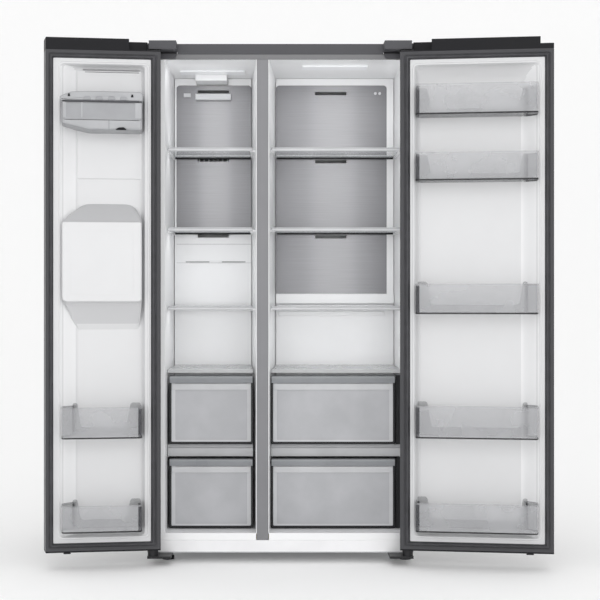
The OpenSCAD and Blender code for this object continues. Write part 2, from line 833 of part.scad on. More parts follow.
// Dispenser: outside niche with a panel above it, and the housing seen from inside
module dispenser_housing() {
  left_door() color([0.9, 0.9, 0.91])
    difference() {
      union() {
        block([cavity_x[0] - 4, door_out, cavity_z[0] - 4], [cavity_x[1] + 4, housing_y - 6, slope_z]);
        block([cavity_x[0] - 4, door_out, slope_z - 1],
              [cavity_x[1] + 4, recess_y - wall - 0.3, cavity_z[1] + 90]);
        // sloped top and square bottom
        translate([housing_x[0], 0, 0]) rotate([90, 0, 90])
          linear_extrude(housing_x[1] - housing_x[0])
            polygon([[recess_y + 0.2, housing_z[0] - 50], [housing_y - 34, housing_z[0]],
                     [housing_y, housing_z[0]], [housing_y, slope_z], [recess_y + 8, housing_z[1]],
                     [recess_y + 0.2, housing_z[1]], [recess_y + 0.2, cavity_z[1] + 10],
                     [recess_y - 4, cavity_z[1] + 10], [recess_y - 4, housing_z[0]],
                     [recess_y + 0.2, housing_z[0]]]);
      }
      block([cavity_x[0], door_out - 1, cavity_z[0]], [cavity_x[1], cavity_y, cavity_z[1]]);
      // ice outlet over the niche
      translate([(cavity_x[0] + cavity_x[1]) / 2, -52, cavity_z[1] - 1]) cylinder(h = 60, r = 26);
      // drip grid in the niche's floor
      for (i = [0 : 6])
        block([cavity_x[0] + 20, door_out + 8 + i * 8, cavity_z[0] - 2],
              [cavity_x[1] - 20, door_out + 12 + i * 8, cavity_z[0] + 1]);
      // paddle pivot
      translate([cavity_x[0] - 1, cavity_y - 12, cavity_z[1] - 20]) rotate([0, 90, 0])
        cylinder(h = cavity_x[1] - cavity_x[0] + 2, r = 3 + axle_play);
    }
}

// Paddle behind the glass that is pushed to call for ice or water
module dispenser_paddle() {
  mid = (cavity_x[0] + cavity_x[1]) / 2;
  left_door() color([0.2, 0.2, 0.22]) {
    translate([cavity_x[0] - 0.6, cavity_y - 12, cavity_z[1] - 20]) rotate([0, 90, 0])
      cylinder(h = cavity_x[1] - cavity_x[0] + 1.2, r = 3);
    block([mid - 28, cavity_y - 15, cavity_z[1] - 150], [mid + 28, cavity_y - 11, cavity_z[1] - 20]);
  }
}

// Outline from above of a bin that fills the recess between its ends x; the free end is cut
// back by inset towards the recess's floor. t is the wall thickness taken off all round.
function bin_plan(x, inset, t = 0) =
  let (s = sign(x[1] - x[0]))
  [[x[0] + s * (t + 7), recess_y + 0.5 + t], [x[0] + s * (t + 3), door_in], [x[0] + s * t, bin_front - t],
   [x[1] - s * t, bin_front - t],
   [x[1] - s * t, door_in], [x[1] - s * (inset + t), recess_y + 0.5 + t]];

bin_wall = 3;

// A door bin, open at the top, its back wall cut low in the middle
module bin(x, inset, z0, z1) {
  lo = min(x[0], x[1] - sign(x[1] - x[0]) * inset);
  hi = max(x[0], x[1] - sign(x[1] - x[0]) * inset);
  difference() {
    plan(bin_plan(x, inset), z0, z1);
    plan(bin_plan(x, inset, bin_wall), z0 + bin_wall, z1 + 1);
    block([lo + 30, recess_y - 1, z0 + 36], [hi - 30, recess_y + 4, z1 + 1]);
  }
}

left_bin_x = [-388, -126];
right_bin_x = [402, -1];
left_bins = [[442, 546], [132, 222]];
right_bins = [[1515, 1624], [1296, 1398], [854, 954], [442, 550], [131, 228]];

module left_door_bins() {
  left_door() color([0.72, 0.74, 0.76]) {
    for (z = left_bins) bin(left_bin_x, left_recess[2], z[0], z[1]);
  }
}

ice_z = [1461, 1580];

// Ice bucket at the top of the freezer door, with a lid and the lever of its chute
module ice_bin() {
  left_door() color([0.8, 0.82, 0.84]) {
    difference() {
      plan(bin_plan(left_bin_x, left_recess[2]), ice_z[0], ice_z[1]);
      plan(bin_plan(left_bin_x, left_recess[2], bin_wall), ice_z[0] + bin_wall, ice_z[1] + 1);
    }
    plan(bin_plan(left_bin_x, left_recess[2]), ice_z[1] + 0.2, ice_z[1] + 10);
    block([-266, bin_front + 0.2, ice_z[0] + 5], [-238, bin_front + 6, ice_z[0] + 25]);
  }
}

module right_door_skin() {
  right_door() color([0.33, 0.33, 0.35])
    difference() {
      door_skin(right_x[0], right_x[1], 0, -1);
      // finger recess along the free edge
      block([right_x[1] - 1, door_out + 16, 560], [right_x[1] + 14, door_out + 46, 1240]);
    }
}

module right_door_liner() {
  right_door() color([0.93, 0.93, 0.94]) door_liner(right_white, right_recess);
}

module right_door_foam() {
  right_door() color([0.9, 0.85, 0.62])
    difference() {
      plan(door_plan(right_x[0] - 0.2, right_x[1] + 0.2, 0, -1, -skin - 0.2), door_z0 + 1, door_z1 - 1);
      block([-600, door_in - wall - 2, 0], [600, 10, 2000]);
      door_recess(right_recess, wall + 0.3);
      block([right_x[1] - 1, door_out + 14, 558], [right_x[1] + 16, door_out + 48, 1242]);
      bush_room(right_pin);
    }
}

module right_gasket() {
  right_door() color([0.2, 0.2, 0.21])
    ring(right_x[1], right_white[1] + gasket_w + 2, white_z0 - 17, white_z1 + 17,
         gasket_w, door_in + 0.1, -0.6);
}

module right_door_caps() {
  right_door() color([0.09, 0.09, 0.1])
    union() {
      door_caps(right_x[0], right_x[1], 0, -1, right_pin, [350, right_x[1] + 44]);
      // lower step at the free end
      plan(door_plan(right_x[1] + 45, right_x[1], 0, -1), cap_low_z - 1, 1754);
    }
}

module right_door_bins() {
  right_door() color([0.72, 0.74, 0.76])
    for (z = right_bins) bin(right_bin_x, right_recess[2], z[0], z[1]);
}

case_shell();
rear_panel();
base_tray();
freezer_liner();
fridge_liner();
foam_insulation();
mullion_cover();
front_sill();
top_cover();
hinge_covers();
top_hinges();
bottom_hinges();
front_feet();
freezer_back_panel();
fridge_back_panel();
lower_back_panels();
air_vents();
ceiling_lamps();
freezer_shelf(shelf_z[0]);  // freezer_shelf_1
freezer_shelf(shelf_z[1]);  // freezer_shelf_2
freezer_shelf(shelf_z[2]);  // freezer_shelf_3
fridge_shelf(shelf_z[0]);  // fridge_shelf_1
fridge_shelf(shelf_z[1]);  // fridge_shelf_2
fridge_shelf(shelf_z[2]);  // fridge_shelf_3
shelf_trims();
drawer_covers();
drawer_dividers();
compressor();
condenser();
fan_shrouds();
evaporators();
drain_pan();
control_box();
machine_cover();
water_valve();
cord_gland();
freezer_drawer_upper();
freezer_drawer_lower();
fridge_drawer_upper();
fridge_drawer_lower();
rear_roller_left();
rear_roller_right();
condenser_fan();
freezer_fan();
fridge_fan();
left_door_skin();
left_door_liner();
left_door_foam();
left_gasket();
left_door_caps();
dispenser_housing();
dispenser_paddle();
ice_bin();
left_door_bins();
right_door_skin();
right_door_liner();
right_door_foam();
right_gasket();
right_door_caps();
right_door_bins();
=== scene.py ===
"""Looks of the side by side refrigerator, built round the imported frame.

The CAD nodes keep their places. Those with the right shape get soft edges and a better material; the door
liners, bins, drawers, gaskets and the dispenser are replaced by finer meshes that ride on the same bodies.
"""
import json
import math

import bmesh
import bpy
from mathutils import Matrix, Vector


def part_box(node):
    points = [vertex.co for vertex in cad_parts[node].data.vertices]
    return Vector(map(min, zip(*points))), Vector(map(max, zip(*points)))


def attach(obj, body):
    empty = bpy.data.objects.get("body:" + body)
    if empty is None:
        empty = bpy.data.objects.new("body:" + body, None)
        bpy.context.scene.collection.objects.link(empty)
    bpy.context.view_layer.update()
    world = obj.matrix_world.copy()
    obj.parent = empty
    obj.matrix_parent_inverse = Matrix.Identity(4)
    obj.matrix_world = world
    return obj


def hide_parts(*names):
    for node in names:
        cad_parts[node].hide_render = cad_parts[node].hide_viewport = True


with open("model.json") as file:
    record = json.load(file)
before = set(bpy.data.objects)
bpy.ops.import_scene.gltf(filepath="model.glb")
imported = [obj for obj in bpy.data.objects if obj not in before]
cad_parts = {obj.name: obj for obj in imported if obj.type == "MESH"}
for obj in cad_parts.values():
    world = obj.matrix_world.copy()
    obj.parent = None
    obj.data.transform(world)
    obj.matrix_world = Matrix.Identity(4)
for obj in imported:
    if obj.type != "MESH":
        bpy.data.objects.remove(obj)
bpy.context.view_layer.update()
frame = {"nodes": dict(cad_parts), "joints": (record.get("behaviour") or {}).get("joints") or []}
MM = 0.001

# ------------------------------------------------------------------ the frame's own measures


def joint(name):
    return next(j for j in frame["joints"] if j["name"] == name)


def door_turn(name):
    """The turn that takes a point of a closed door to where the door stands open, at rest."""
    j = joint(name)
    pivot = Vector(j["pos_m"])
    angle = -math.radians(j["range_deg"][0])
    turn = Matrix.Rotation(angle, 4, Vector(j["axis"]))
    return Matrix.Translation(pivot) @ turn @ Matrix.Translation(-pivot)


LEFT = door_turn("left_door_hinge")
RIGHT = door_turn("right_door_hinge")
STILL = Matrix.Identity(4)


def closed_box(node, turn=STILL):
    """Lowest and highest corner of a node with its door closed."""
    back = turn.inverted()
    points = [back @ v.co for v in frame["nodes"][node].data.vertices]
    lo = Vector([min(p[i] for p in points) for i in range(3)])
    hi = Vector([max(p[i] for p in points) for i in range(3)])
    return lo, hi


def solids(node, turn=STILL):
    """The closed-door box of each separate solid of a node, from the top one down."""
    back = turn.inverted()
    bm = bmesh.new()
    bm.from_mesh(frame["nodes"][node].data)
    bmesh.ops.remove_doubles(bm, verts=bm.verts, dist=1e-5)
    left = set(bm.verts)
    boxes = []
    while left:
        stack = [left.pop()]
        points = []
        while stack:
            v = stack.pop()
            points.append(back @ v.co)
            for e in v.link_edges:
                o = e.other_vert(v)
                if o in left:
                    left.remove(o)
                    stack.append(o)
        lo = Vector([min(p[i] for p in points) for i in range(3)])
        hi = Vector([max(p[i] for p in points) for i in range(3)])
        boxes.append((lo, hi))
    bm.free()
    return sorted(boxes, key=lambda b: -b[1].z)


# ------------------------------------------------------------------ materials


def new_material(name, color, roughness=0.5, metallic=0.0, alpha=1.0):
    m = bpy.data.materials.new(name)
    m.use_nodes = True
    tree = m.node_tree
    shader = tree.nodes["Principled BSDF"]
    shader.inputs["Base Color"].default_value = (*color, 1)
    shader.inputs["Roughness"].default_value = roughness
    shader.inputs["Metallic"].default_value = metallic
    shader.inputs["Alpha"].default_value = alpha
    return m, tree, shader


def noise(tree, scale, stretch=(1, 1, 1), detail=4.0):
    """Noise in the object's own coordinates, stretched along its axes."""
    place = tree.nodes.new("ShaderNodeTexCoord")
    mapping = tree.nodes.new("ShaderNodeMapping")
    mapping.inputs["Scale"].default_value = stretch
    texture = tree.nodes.new("ShaderNodeTexNoise")
    texture.inputs["Scale"].default_value = scale
    texture.inputs["Detail"].default_value = detail
    tree.links.new(place.outputs["Object"], mapping.inputs["Vector"])
    tree.links.new(mapping.outputs["Vector"], texture.inputs["Vector"])
    return texture.outputs["Fac"]


def ramp(tree, value, low, high, start=0.35, end=0.65):
    """Colours or greys between two ends, driven by a value."""
    node = tree.nodes.new("ShaderNodeValToRGB")
    node.color_ramp.elements[0].position = start
    node.color_ramp.elements[1].position = end
    node.color_ramp.elements[0].color = (*low, 1)
    node.color_ramp.elements[1].color = (*high, 1)
    tree.links.new(value, node.inputs["Fac"])
    return node.outputs["Color"]


def spread(tree, value, low, high):
    node = tree.nodes.new("ShaderNodeMapRange")
    node.inputs["To Min"].default_value = low
    node.inputs["To Max"].default_value = high
    tree.links.new(value, node.inputs["Value"])
    return node.outputs["Result"]


def bump(tree, shader, value, strength, distance):
    node = tree.nodes.new("ShaderNodeBump")
    node.inputs["Strength"].default_value = strength
    node.inputs["Distance"].default_value = distance
    tree.links.new(value, node.inputs["Height"])
    tree.links.new(node.outputs["Normal"], shader.inputs["Normal"])


def shade(color, factor):
    return tuple(min(1.0, c * factor) for c in color)


def plastic(name, color, roughness=0.4, grain=900, depth=0.00004, mottle=0.04, coat=0.0, gloss=0.5):
    """Moulded plastic: a fine grain, and a slow change of shade and gloss."""
    m, tree, shader = new_material(name, color, roughness)
    slow = noise(tree, 6, detail=3)
    tone = ramp(tree, slow, shade(color, 1 - mottle), shade(color, 1 + mottle))
    tree.links.new(tone, shader.inputs["Base Color"])
    tree.links.new(spread(tree, slow, roughness - 0.06, roughness + 0.08), shader.inputs["Roughness"])
    bump(tree, shader, noise(tree, grain, detail=2), 0.25, depth)
    shader.inputs["Coat Weight"].default_value = coat
    shader.inputs["Coat Roughness"].default_value = 0.15
    shader.inputs["Specular IOR Level"].default_value = gloss
    return m


def clear_plastic(name, color, alpha, roughness=0.12, gloss=0.25):
    """Tinted see-through plastic, a little cloudier in places."""
    m, tree, shader = new_material(name, color, roughness, alpha=alpha)
    shader.inputs["Specular IOR Level"].default_value = gloss
    slow = noise(tree, 9, detail=3)
    tree.links.new(ramp(tree, slow, shade(color, 0.95), shade(color, 1.04)), shader.inputs["Base Color"])
    tree.links.new(spread(tree, slow, alpha - 0.03, alpha + 0.03), shader.inputs["Alpha"])
    tree.links.new(spread(tree, slow, roughness, roughness + 0.08), shader.inputs["Roughness"])
    return m


def painted(name, color, roughness=0.4, metallic=0.0, peel=240):
    """Powder-coated or lacquered steel with a faint orange peel."""
    m, tree, shader = new_material(name, color, roughness, metallic)
    slow = noise(tree, 5, detail=4)
    tree.links.new(ramp(tree, slow, shade(color, 0.95), shade(color, 1.05)), shader.inputs["Base Color"])
    tree.links.new(spread(tree, slow, roughness - 0.05, roughness + 0.07), shader.inputs["Roughness"])
    bump(tree, shader, noise(tree, peel, detail=2), 0.2, 0.00005)
    return m


def brushed(name, color, along, roughness=0.34, metallic=0.85):
    """Brushed metal with fine lines along X or Z."""
    m, tree, shader = new_material(name, color, roughness, metallic)
    stretch = (0.02, 1, 1) if along == "X" else (1, 1, 0.02)
    lines = noise(tree, 700, stretch, detail=6)
    tree.links.new(ramp(tree, lines, shade(color, 0.88), shade(color, 1.1)), shader.inputs["Base Color"])
    tree.links.new(spread(tree, lines, roughness - 0.08, roughness + 0.1), shader.inputs["Roughness"])
    bump(tree, shader, lines, 0.15, 0.00004)
    return m


def brushed_painted_sheen(name, edge, middle):
    """Brushed sheet with fine lines and a painted sheen: its colour is painted lighter towards the middle of
    its width and darker towards both sides.
    """
    m, tree, shader = new_material(name, middle, 0.38, 0.7)
    where = tree.nodes.new("ShaderNodeTexCoord")
    split = tree.nodes.new("ShaderNodeSeparateXYZ")
    tree.links.new(where.outputs["Generated"], split.inputs[0])
    # painted highlight: a bell across the sheet's width lifts the colour towards the middle
    bell = tree.nodes.new("ShaderNodeFloatCurve")
    curve = bell.mapping.curves[0]
    curve.points[0].location = (0, 0.0)
    curve.points[1].location = (1, 0.0)
    for x, y in ((0.2, 0.12), (0.52, 1.0), (0.8, 0.25)):
        curve.points.new(x, y)
    bell.mapping.update()
    tree.links.new(split.outputs["X"], bell.inputs["Value"])
    lines = noise(tree, 500, (0.01, 1, 1), detail=6)
    sheen = ramp(tree, bell.outputs[0], edge, middle, 0.0, 1.0)
    blend = tree.nodes.new("ShaderNodeMix")
    blend.data_type = "RGBA"
    blend.blend_type = "MULTIPLY"
    blend.inputs["Factor"].default_value = 1.0
    tree.links.new(sheen, blend.inputs["A"])
    tree.links.new(ramp(tree, lines, (0.9, 0.9, 0.9), (1, 1, 1)), blend.inputs["B"])
    tree.links.new(blend.outputs["Result"], shader.inputs["Base Color"])
    tree.links.new(spread(tree, lines, 0.32, 0.46), shader.inputs["Roughness"])
    bump(tree, shader, lines, 0.12, 0.00003)
    return m


def rubber(name, color):
    m, tree, shader = new_material(name, color, 0.62)
    slow = noise(tree, 30, detail=4)
    tree.links.new(ramp(tree, slow, shade(color, 0.85), shade(color, 1.15)), shader.inputs["Base Color"])
    bump(tree, shader, noise(tree, 1500, detail=2), 0.3, 0.00004)
    return m


def lamp_lens(name):
    m, tree, shader = new_material(name, (0.8, 0.81, 0.83), 0.3)
    shader.inputs["Emission Color"].default_value = (1.0, 1.0, 1.0, 1)
    ribs = noise(tree, 60, (1, 0.05, 0.05), detail=1)
    tree.links.new(spread(tree, ribs, 0.03, 0.06), shader.inputs["Emission Strength"])
    return m


MATERIALS = {
    "case": painted("case_paint", (0.15, 0.15, 0.155), 0.42, 0.3),
    "galvanised": brushed("galvanised_sheet", (0.5, 0.51, 0.52), "X", 0.45, 0.8),
    "liner": plastic("liner_white", (0.87, 0.872, 0.88), 0.36, mottle=0.012, coat=0.1),
    # the doors' white is painted darker than the cabinet liner's, as painted shade that offsets the stronger
    # light on the doors
    "door_white": plastic("door_liner_white", (0.66, 0.662, 0.67), 0.4, mottle=0.012, coat=0.1),
    # darker white for the dispenser cover's underside: painted shade
    "door_underside_painted_shade": plastic("door_liner_painted_shade", (0.50, 0.502, 0.512), 0.45, mottle=0.012),
    "foam": plastic("foam_block", (0.78, 0.68, 0.36), 0.9, 200, 0.0004, 0.08),
    "divider": painted("divider_grey", (0.19, 0.19, 0.2), 0.42, 0.2),
    "white_paint": painted("white_paint", (0.84, 0.84, 0.85), 0.35),
    "cover": plastic("cover_grey", (0.07, 0.07, 0.077), 0.5, 700, 0.00008, gloss=0.35),
    "black_metal": painted("black_metal", (0.012, 0.012, 0.014), 0.4, 0.3),
    "black": plastic("black_plastic", (0.009, 0.009, 0.011), 0.45, 800, 0.00008, 0.1, gloss=0.16),
    # back panels: brushed metal with a painted sheen down the middle of each
    "panel": brushed_painted_sheen("brushed_panel", (0.205, 0.205, 0.215), (0.285, 0.285, 0.295)),
    "vent": plastic("vent_white", (0.62, 0.625, 0.64), 0.38, mottle=0.015),
    "panel_seam": plastic("panel_seam", (0.3, 0.302, 0.31), 0.5, mottle=0.05),
    "white": plastic("white_plastic", (0.82, 0.825, 0.835), 0.38, mottle=0.015),
    "lens": lamp_lens("lamp_lens"),
    "glass": clear_plastic("shelf_glass", (0.70, 0.73, 0.74), 0.34, 0.05),
    "cover_glass": clear_plastic("drawer_cover_glass", (0.74, 0.75, 0.76), 0.55, 0.2),
    "trim": plastic("trim_plastic", (0.72, 0.725, 0.74), 0.3, mottle=0.015, coat=0.3),
    "clear": clear_plastic("clear_grey", (0.2, 0.205, 0.215), 0.2),
    "clear_painted_highlight": clear_plastic("clear_lip_painted_highlight", (0.5, 0.505, 0.52), 0.4),
    "frosted": clear_plastic("frosted_grey", (0.52, 0.525, 0.545), 0.82, 0.34),
    "frosted_light": clear_plastic("frosted_light", (0.62, 0.625, 0.64), 0.86, 0.34),
    "trim_clear": clear_plastic("shelf_front_clear", (0.62, 0.625, 0.64), 0.7, 0.2),
    "tray": clear_plastic("drawer_tray", (0.62, 0.625, 0.64), 0.8, 0.25),
    "compressor": painted("compressor_paint", (0.015, 0.015, 0.016), 0.35),
    "coil": brushed("coil_metal", (0.55, 0.56, 0.58), "X", 0.3, 0.95),
    "gasket": rubber("gasket_rubber", (0.045, 0.045, 0.05)),
    "skin": brushed("door_skin", (0.055, 0.055, 0.06), "Z", 0.42, 0.5),
    # darker white for the dispenser cover's sloped top: painted shade
    "door_slope_painted_shade": plastic("door_slope_white_painted_shade", (0.55, 0.552, 0.562), 0.45, mottle=0.012),
    # lighter white for the sloped side of the door recess: painted light
    "door_recess_painted_light": plastic("door_white_painted_light", (0.80, 0.802, 0.81), 0.42, mottle=0.012),
    "bucket": clear_plastic("bucket_frosted", (0.36, 0.365, 0.38), 0.9, 0.3),
    "bucket_lid": clear_plastic("bucket_lid", (0.46, 0.465, 0.48), 0.88, 0.3),
    "bucket_seam": clear_plastic("bucket_seam", (0.10, 0.10, 0.11), 0.8, 0.3),
    "bin_edge": clear_plastic("bin_edge", (0.012, 0.012, 0.014), 0.93, 0.2),
    "bin_corner_painted_shade": clear_plastic("bin_corner_painted_shade", (0.10, 0.10, 0.11), 0.42, 0.2),
    "frame": plastic("door_frame_grey", (0.06, 0.06, 0.065), 0.5, 800, 0.00005, 0.04, gloss=0.3),
    "gloss_black": plastic("gloss_black", (0.008, 0.008, 0.009), 0.12, 300, 0.00001, 0.05, coat=0.6),
    "touch_strip": plastic("touch_strip", (0.03, 0.032, 0.036), 0.08, 200, 0.00001, 0.05, coat=0.8),
    "stainless": brushed("stainless", (0.6, 0.6, 0.61), "X", 0.28, 1.0),
    "drawer_edge_and_gap_shade": clear_plastic("drawer_edge_and_gap_shade", (0.018, 0.018, 0.02), 0.94, 0.25),
    "drawer_grip": clear_plastic("drawer_grip", (0.30, 0.31, 0.325), 0.92, 0.25),
}

# ------------------------------------------------------------------ CAD nodes that stay: edges and materials

KEPT = {
    "case_shell": ("case", 1.0), "rear_panel": ("galvanised", 0.4), "base_tray": ("galvanised", 0.6),
    "freezer_liner": ("liner", 1.2), "fridge_liner": ("liner", 1.2), "foam_insulation": ("foam", 0),
    "mullion_cover": ("divider", 1.2), "front_sill": ("white_paint", 1.5), "top_cover": ("cover", 2.0),
    "hinge_covers": ("cover", 2.5), "top_hinges": ("black_metal", 0.8), "bottom_hinges": ("black_metal", 1.2),
    "front_feet": ("black", 1.5), "freezer_back_panel": ("panel", 0.6), "fridge_back_panel": ("panel", 0.6),
    "lower_back_panels": ("liner", 0.8), "air_vents": ("vent", 1.2), "ceiling_lamps": ("lens", 2.0),
    "drawer_covers": ("cover_glass", 1.5),
    "compressor": ("compressor", 1.5), "condenser": ("coil", 0), "fan_shrouds": ("black", 1.0),
    "evaporators": ("coil", 0), "drain_pan": ("black", 1.0), "control_box": ("white", 1.5),
    "machine_cover": ("galvanised", 0.5), "water_valve": ("white", 1.2), "cord_gland": ("black", 0.8),
    "rear_roller_left": ("black", 1.5), "rear_roller_right": ("black", 1.5), "condenser_fan": ("white", 0.5),
    "freezer_fan": ("white", 0.5), "fridge_fan": ("white", 0.5), "left_door_skin": ("skin", 1.0),
    # the right foam is the floor of the finger recess, painted black as painted shade of the recess
    "left_door_foam": ("foam", 0), "left_door_caps": ("black", 2.0), "right_door_skin": ("skin", 1.0),
    "right_door_foam": ("black", 0), "right_door_caps": ("black", 2.0), "dispenser_paddle": ("black", 1.2),
}
for place in ("freezer", "fridge"):
    for number in (1, 2, 3):
        KEPT[f"{place}_shelf_{number}"] = ("glass", 1.0)


def soften(o, width, segments=2, angle=32):
    """Rounds a piece's hard edges."""
    weld = o.modifiers.new("weld", "WELD")
    weld.merge_threshold = 0.00001
    bevel = o.modifiers.new("edges", "BEVEL")
    bevel.width = width * MM
    bevel.segments = segments
    bevel.limit_method = "ANGLE"
    bevel.angle_limit = math.radians(angle)
    bevel.harden_normals = True
    even = o.modifiers.new("even", "WEIGHTED_NORMAL")
    even.keep_sharp = True


for node, (look, width) in KEPT.items():
    o = frame["nodes"][node]
    for slot in o.material_slots:
        slot.material = MATERIALS[look]
    if width:
        soften(o, width)

# ------------------------------------------------------------------ mesh building


class Piece:
    """A mesh that is put together in closed-door millimetres and then turned into place."""

    def __init__(self, name, *looks):
        self.name = name
        self.looks = looks
        self.bm = bmesh.new()

    def face(self, verts, look=0):
        try:
            f = self.bm.faces.new(verts)
        except ValueError:
            return None
        f.material_index = look
        return f

    def ring(self, points):
        return [self.bm.verts.new([c * MM for c in p]) for p in points]

    def strip(self, a, b, look=0, closed=True):
        n = len(a)
        for i in range(n if closed else n - 1):
            j = (i + 1) % n
            self.face([a[i], a[j], b[j], b[i]], look)

    def loft(self, rings, look=0, cap_start=False, cap_end=False, closed=True):
        made = [self.ring(r) for r in rings]
        for a, b in zip(made, made[1:]):
            self.strip(a, b, look, closed)
        if cap_start:
            self.face(list(reversed(made[0])), look)
        if cap_end:
            self.face(made[-1], look)
        return made

    def prism(self, outline, z0, z1, look=0, edge=1.0):
        """A plate or block from an outline seen from above, with rounded top and bottom edges."""
        inner = inset(outline, edge)
        self.loft([lift(inner, z0), lift(outline, z0 + edge), lift(outline, z1 - edge), lift(inner, z1)],
                  look, True, True)

    def done(self, body, turn=STILL, replaces=(), smooth=35):
        bmesh.ops.remove_doubles(self.bm, verts=self.bm.verts, dist=0.00002)
        bmesh.ops.recalc_face_normals(self.bm, faces=self.bm.faces)
        mesh = bpy.data.meshes.new(self.name)
        self.bm.transform(turn)
        self.bm.to_mesh(mesh)
        self.bm.free()
        o = bpy.data.objects.new(self.name, mesh)
        bpy.context.collection.objects.link(o)
        for look in self.looks:
            mesh.materials.append(MATERIALS[look])
        mesh.shade_smooth()
        for polygon in mesh.polygons:
            if len(polygon.vertices) > 4:
                polygon.use_smooth = False
        mesh.set_sharp_from_angle(angle=math.radians(smooth))
        even = o.modifiers.new("even", "WEIGHTED_NORMAL")
        even.keep_sharp = True
        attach(o, body)
        if replaces:
            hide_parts(*replaces)
        return o


def lift(outline, z):
    return [(x, y, z) for x, y in outline]


def rounded(points, radii, steps=6):
    """A closed outline with each corner turned into an arc; radii may be one number."""
    n = len(points)
    if not isinstance(radii, (list, tuple)):
        radii = [radii] * n
    out = []
    for i, p in enumerate(points):
        p = Vector(p)
        a = (Vector(points[i - 1]) - p)
        b = (Vector(points[(i + 1) % n]) - p)
        r = radii[i]
        if r <= 0:
            out.append(tuple(p))
            continue
        half = a.angle(b) / 2
        reach = min(r / math.tan(half), a.length * 0.49, b.length * 0.49)
        start = p + a.normalized() * reach
        end = p + b.normalized() * reach
        for k in range(steps + 1):
            t = k / steps
            q = start * (1 - t) ** 2 + p * 2 * t * (1 - t) + end * t ** 2
            out.append(tuple(q))
    return out


def crossing(p, d, q, e):
    """Where the line through p along d meets the line through q along e."""
    turn = d.x * e.y - d.y * e.x
    if abs(turn) < 1e-9:
        return (p + q) / 2
    t = ((q.x - p.x) * e.y - (q.y - p.y) * e.x) / turn
    return p + d * t


def inset(outline, by):
    """The outline moved inwards by a distance; a corner smaller than that ends as a point."""
    n = len(outline)
    pts = [Vector(p) for p in outline]
    area = sum(pts[i].x * pts[(i + 1) % n].y - pts[(i + 1) % n].x * pts[i].y for i in range(n))
    side = 1 if area > 0 else -1
    step = [pts[(i + 1) % n] - pts[i] for i in range(n)]
    out = []
    for i in range(n):
        n1 = Vector((-step[i - 1].y, step[i - 1].x)).normalized() * side
        n2 = Vector((-step[i].y, step[i].x)).normalized() * side
        m = (n1 + n2).normalized()
        out.append(pts[i] + m * by / max(0.4, m.dot(n1)))
    back = [(out[(i + 1) % n] - out[i]).dot(step[i]) < 0 for i in range(n)]
    first = back.index(False)
    k = 0
    while k < n:
        i = (first + k) % n
        run = 0
        while back[(i + run) % n]:
            run += 1
        if run:
            last = (i + run) % n
            tip = crossing(out[i - 1], step[i - 1], out[(last + 1) % n], step[last])
            for j in range(run + 1):
                out[(i + j) % n] = tip
        k += max(run, 1)
    return [tuple(p) for p in out]


def rectangle(x0, x1, z0, z1, r, steps=6):
    return rounded([(x0, z0), (x1, z0), (x1, z1), (x0, z1)], r, steps)


def upright(outline, y):
    """An outline drawn in X and Z, standing at a depth y."""
    return [(x, y, z) for x, z in outline]

# ------------------------------------------------------------------ doors


class Door:
    """What the pieces of one door need to know, read from its CAD nodes with the door closed."""

    def __init__(self, side, joint_turn):
        self.name = f"{side}_door"
        self.side = side
        self.turn = joint_turn
        self.skin = self.edges(f"{side}_door_skin")
        self.white = self.edges(f"{side}_door_liner")
        self.free = 1 if side == "left" else -1
        self.face = self.white[1][1]
        self.floor = self.white[0][1] + LINER_WALL
        self.hinge_x = self.skin[0][0] if side == "left" else self.skin[1][0]
        self.free_x = self.skin[1][0] if side == "left" else self.skin[0][0]
        white_x = (self.white[0][0], self.white[1][0])
        self.white_hinge, self.white_free = white_x if side == "left" else white_x[::-1]

    def edges(self, node):
        lo, hi = closed_box(node, self.turn)
        return [c / MM for c in lo], [c / MM for c in hi]

    def piece(self, name, *looks):
        return Piece(f"{self.side}_{name}", *looks)


LINER_WALL = 2.0
RIM_HINGE = {"left": 12.0, "right": 16.0}
RIM_FREE = {"left": 24.0, "right": 20.0}
RIM_END = 20.0
SLANT = 8.0
SLOPE = {"left": 50.0, "right": 46.0}
COVE = {"left": 2.0, "right": 44.0}
# how far the recess steps in just under its mouth, so that it clears the foam
DIP = {"left": 9.0, "right": 2.6}
DIP_FREE = 4.0
DIP_END = 1.5
left = Door("left", LEFT)
right = Door("right", RIGHT)


